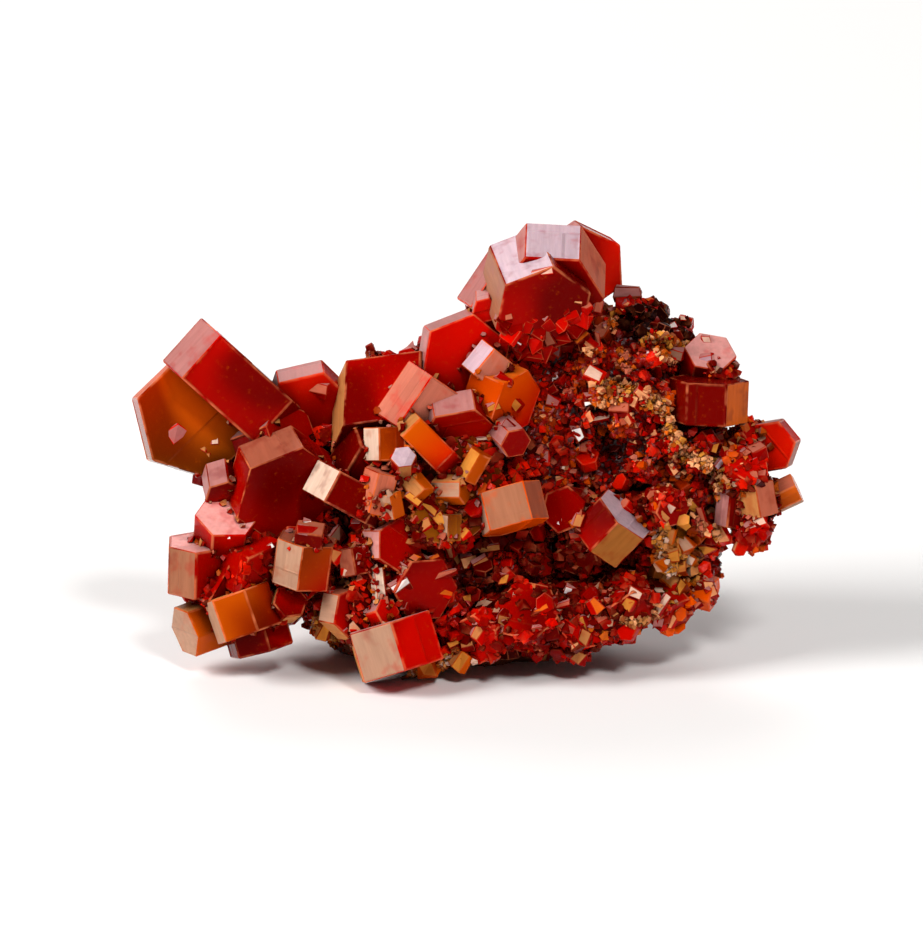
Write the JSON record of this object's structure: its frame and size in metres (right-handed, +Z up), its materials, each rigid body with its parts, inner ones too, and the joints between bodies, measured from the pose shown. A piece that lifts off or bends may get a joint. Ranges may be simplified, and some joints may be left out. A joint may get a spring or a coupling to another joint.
{
  "type": "vanadinite specimen",
  "caption": "Mineral specimen: glassy red hexagonal vanadinite crystals grown together in clusters on a lump of ochre rock with a drusy crust, cut flat underneath to stand.",
  "frame": {"origin": "a point on the flat broken base, below the middle of the specimen", "axes": "+Z up from the base, +X along the specimen's long side, with the side that the picture shows facing -Y"},
  "size_m": [0.0505, 0.0281, 0.0331],
  "materials": {
    "crystals": "glassy faces, deep red to orange red, with amber thin parts and matt tan side faces",
    "rock": "rough ochre and brown rock with a crust of small red crystals"
  },
  "bodies": {
    "root": {"matrix": "rock", "upper_left_crystals": "crystals", "upper_middle_crystals": "crystals", "top_crystals": "crystals", "centre_crystals": "crystals", "lower_left_crystals": "crystals", "front_crystals": "crystals", "lower_right_crystals": "crystals", "middle_right_crystals": "crystals", "right_crystals": "crystals", "far_right_crystals": "crystals", "back_left_crystals": "crystals", "back_middle_crystals": "crystals", "back_right_crystals": "crystals", "back_low_crystals": "crystals", "back_top_crystals": "crystals"}
  },
  "joints": []
}
